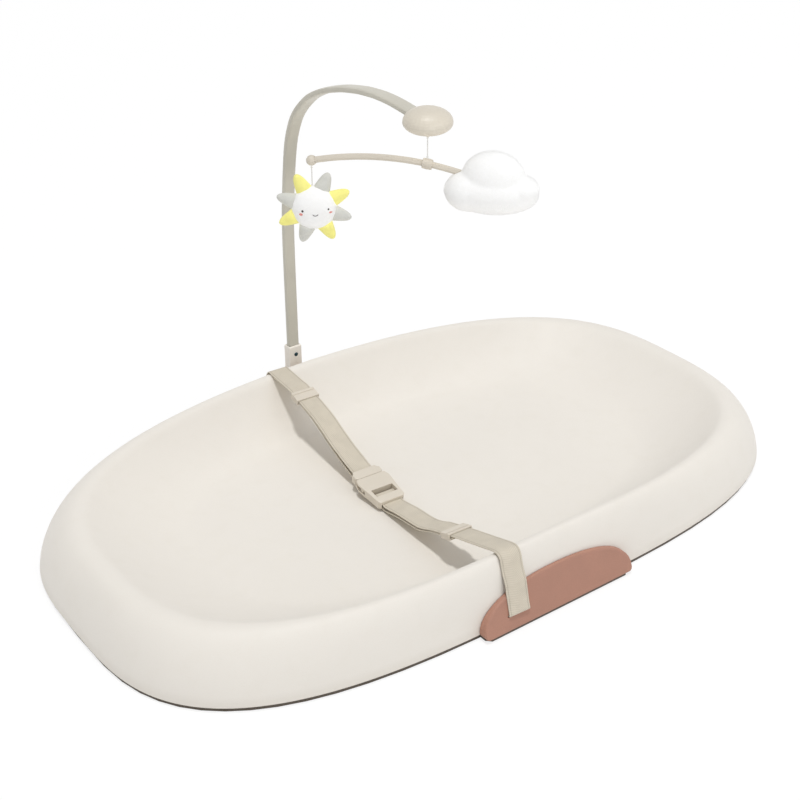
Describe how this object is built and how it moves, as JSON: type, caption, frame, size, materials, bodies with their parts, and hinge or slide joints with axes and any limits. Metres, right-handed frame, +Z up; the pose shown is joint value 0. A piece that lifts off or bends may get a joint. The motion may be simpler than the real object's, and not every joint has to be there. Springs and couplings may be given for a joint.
{
  "type": "changing mat",
  "caption": "Contoured foam changing mat with a raised rim, a waist strap with side-release buckle, and a curved arm that hangs a plush toy bar over the basin.",
  "frame": {"origin": "middle of the mat's underside, on the surface that it lies on", "axes": "+X along the mat's length, +Y towards the side that carries the toy arm, +Z up"},
  "size_m": [0.824, 0.4954, 0.4432],
  "materials": {
    "foam": "satin",
    "backing": "matte",
    "panel": "satin",
    "webbing": "matte",
    "clip": "satin",
    "arm": "satin",
    "cap": "satin",
    "bar": "satin",
    "string": "matte",
    "plush_white": "matte",
    "plush_yellow": "matte",
    "plush_grey": "matte",
    "steel": "satin",
    "dark_steel": "satin"
  },
  "bodies": {
    "base": {"mat_body": "foam", "base_sheet": "backing", "front_panel": "panel", "rear_panel": "panel", "front_panel_screw_1": "steel", "front_panel_screw_2": "steel", "rear_panel_screw_1": "steel", "rear_panel_screw_2": "steel", "front_anchor_bar": "steel", "rear_anchor_bar": "steel", "front_webbing": "webbing", "rear_webbing": "webbing", "buckle_female": "clip", "arm_socket": "cap", "socket_screw_1": "steel", "socket_screw_2": "steel"},
    "front_keeper": {"front_keeper": "clip"},
    "rear_keeper": {"rear_keeper": "clip"},
    "buckle_plug": {"buckle_male": "clip"},
    "prong_left": {"buckle_prong_left": "clip"},
    "prong_right": {"buckle_prong_right": "clip"},
    "clamp_screw": {"clamp_screw": "dark_steel"},
    "arm": {"arm": "arm", "arm_cap": "cap", "cap_plate": "cap", "string_stud": "cap"},
    "hanger": {"bar_string": "string"},
    "mobile": {"bar": "bar", "bar_collar": "bar", "bar_end_cap": "bar", "cloud_base": "plush_white", "cloud_top": "plush_white", "cloud_side": "plush_white"},
    "sun_hanger": {"sun_string": "string"},
    "sun": {"sun_body": "plush_white", "sun_ray_1": "plush_grey", "sun_ray_2": "plush_yellow", "sun_ray_3": "plush_grey", "sun_ray_4": "plush_yellow", "sun_ray_5": "plush_grey", "sun_ray_6": "plush_yellow", "sun_ray_7": "plush_grey", "sun_ray_8": "plush_yellow"}
  },
  "joints": [
    {"name": "front_keeper_slide", "type": "slide", "parent": "base", "child": "front_keeper", "axis": [0.0378, 0.9419, -0.3338], "range_m": [0, 0.012]},
    {"name": "rear_keeper_slide", "type": "slide", "parent": "base", "child": "rear_keeper", "axis": [-0.0391, -0.9736, -0.225], "range_m": [0, 0.012]},
    {"name": "buckle_release", "type": "slide", "parent": "base", "child": "buckle_plug", "axis": [0.0397, 0.989, 0.1426], "range_m": [0, 0.03], "deforming": ["rear_webbing"]},
    {"name": "prong_left_squeeze", "type": "hinge", "parent": "buckle_plug", "child": "prong_left", "pos_m": [-0.06633, 0.01931, 0.03072], "axis": [-0.0057, -0.1425, 0.9898], "range_deg": [0, 12], "stiffness_Nm_per_rad": 0.05},
    {"name": "prong_right_squeeze", "type": "hinge", "parent": "buckle_plug", "child": "prong_right", "pos_m": [-0.04335, 0.01838, 0.03072], "axis": [-0.0057, -0.1425, 0.9898], "range_deg": [-12, 0], "stiffness_Nm_per_rad": 0.05},
    {"name": "clamp_screw_turn", "type": "hinge", "parent": "base", "child": "clamp_screw", "pos_m": [-0.0075, 0.239, 0.0768], "axis": [0, -1, 0], "continuous": true},
    {"name": "arm_lift", "type": "slide", "parent": "base", "child": "arm", "axis": [0, 0, 1], "range_m": [0, 0.055]},
    {"name": "bar_swing", "type": "hinge", "parent": "arm", "child": "hanger", "pos_m": [-0.0075, -0.0145, 0.4146], "axis": [-0.682, 0.7314, 0], "range_deg": [-12, 12]},
    {"name": "bar_turn", "type": "hinge", "parent": "hanger", "child": "mobile", "pos_m": [-0.0075, -0.0145, 0.38774], "axis": [0, 0, 1], "continuous": true},
    {"name": "sun_swing", "type": "hinge", "parent": "mobile", "child": "sun_hanger", "pos_m": [-0.08525, 0.06887, 0.37843], "axis": [0.8387, -0.5446, 0], "range_deg": [-15, 15]},
    {"name": "sun_turn", "type": "hinge", "parent": "sun_hanger", "child": "sun", "pos_m": [-0.08525, 0.06887, 0.3578], "axis": [0, 0, 1], "continuous": true}
  ]
}
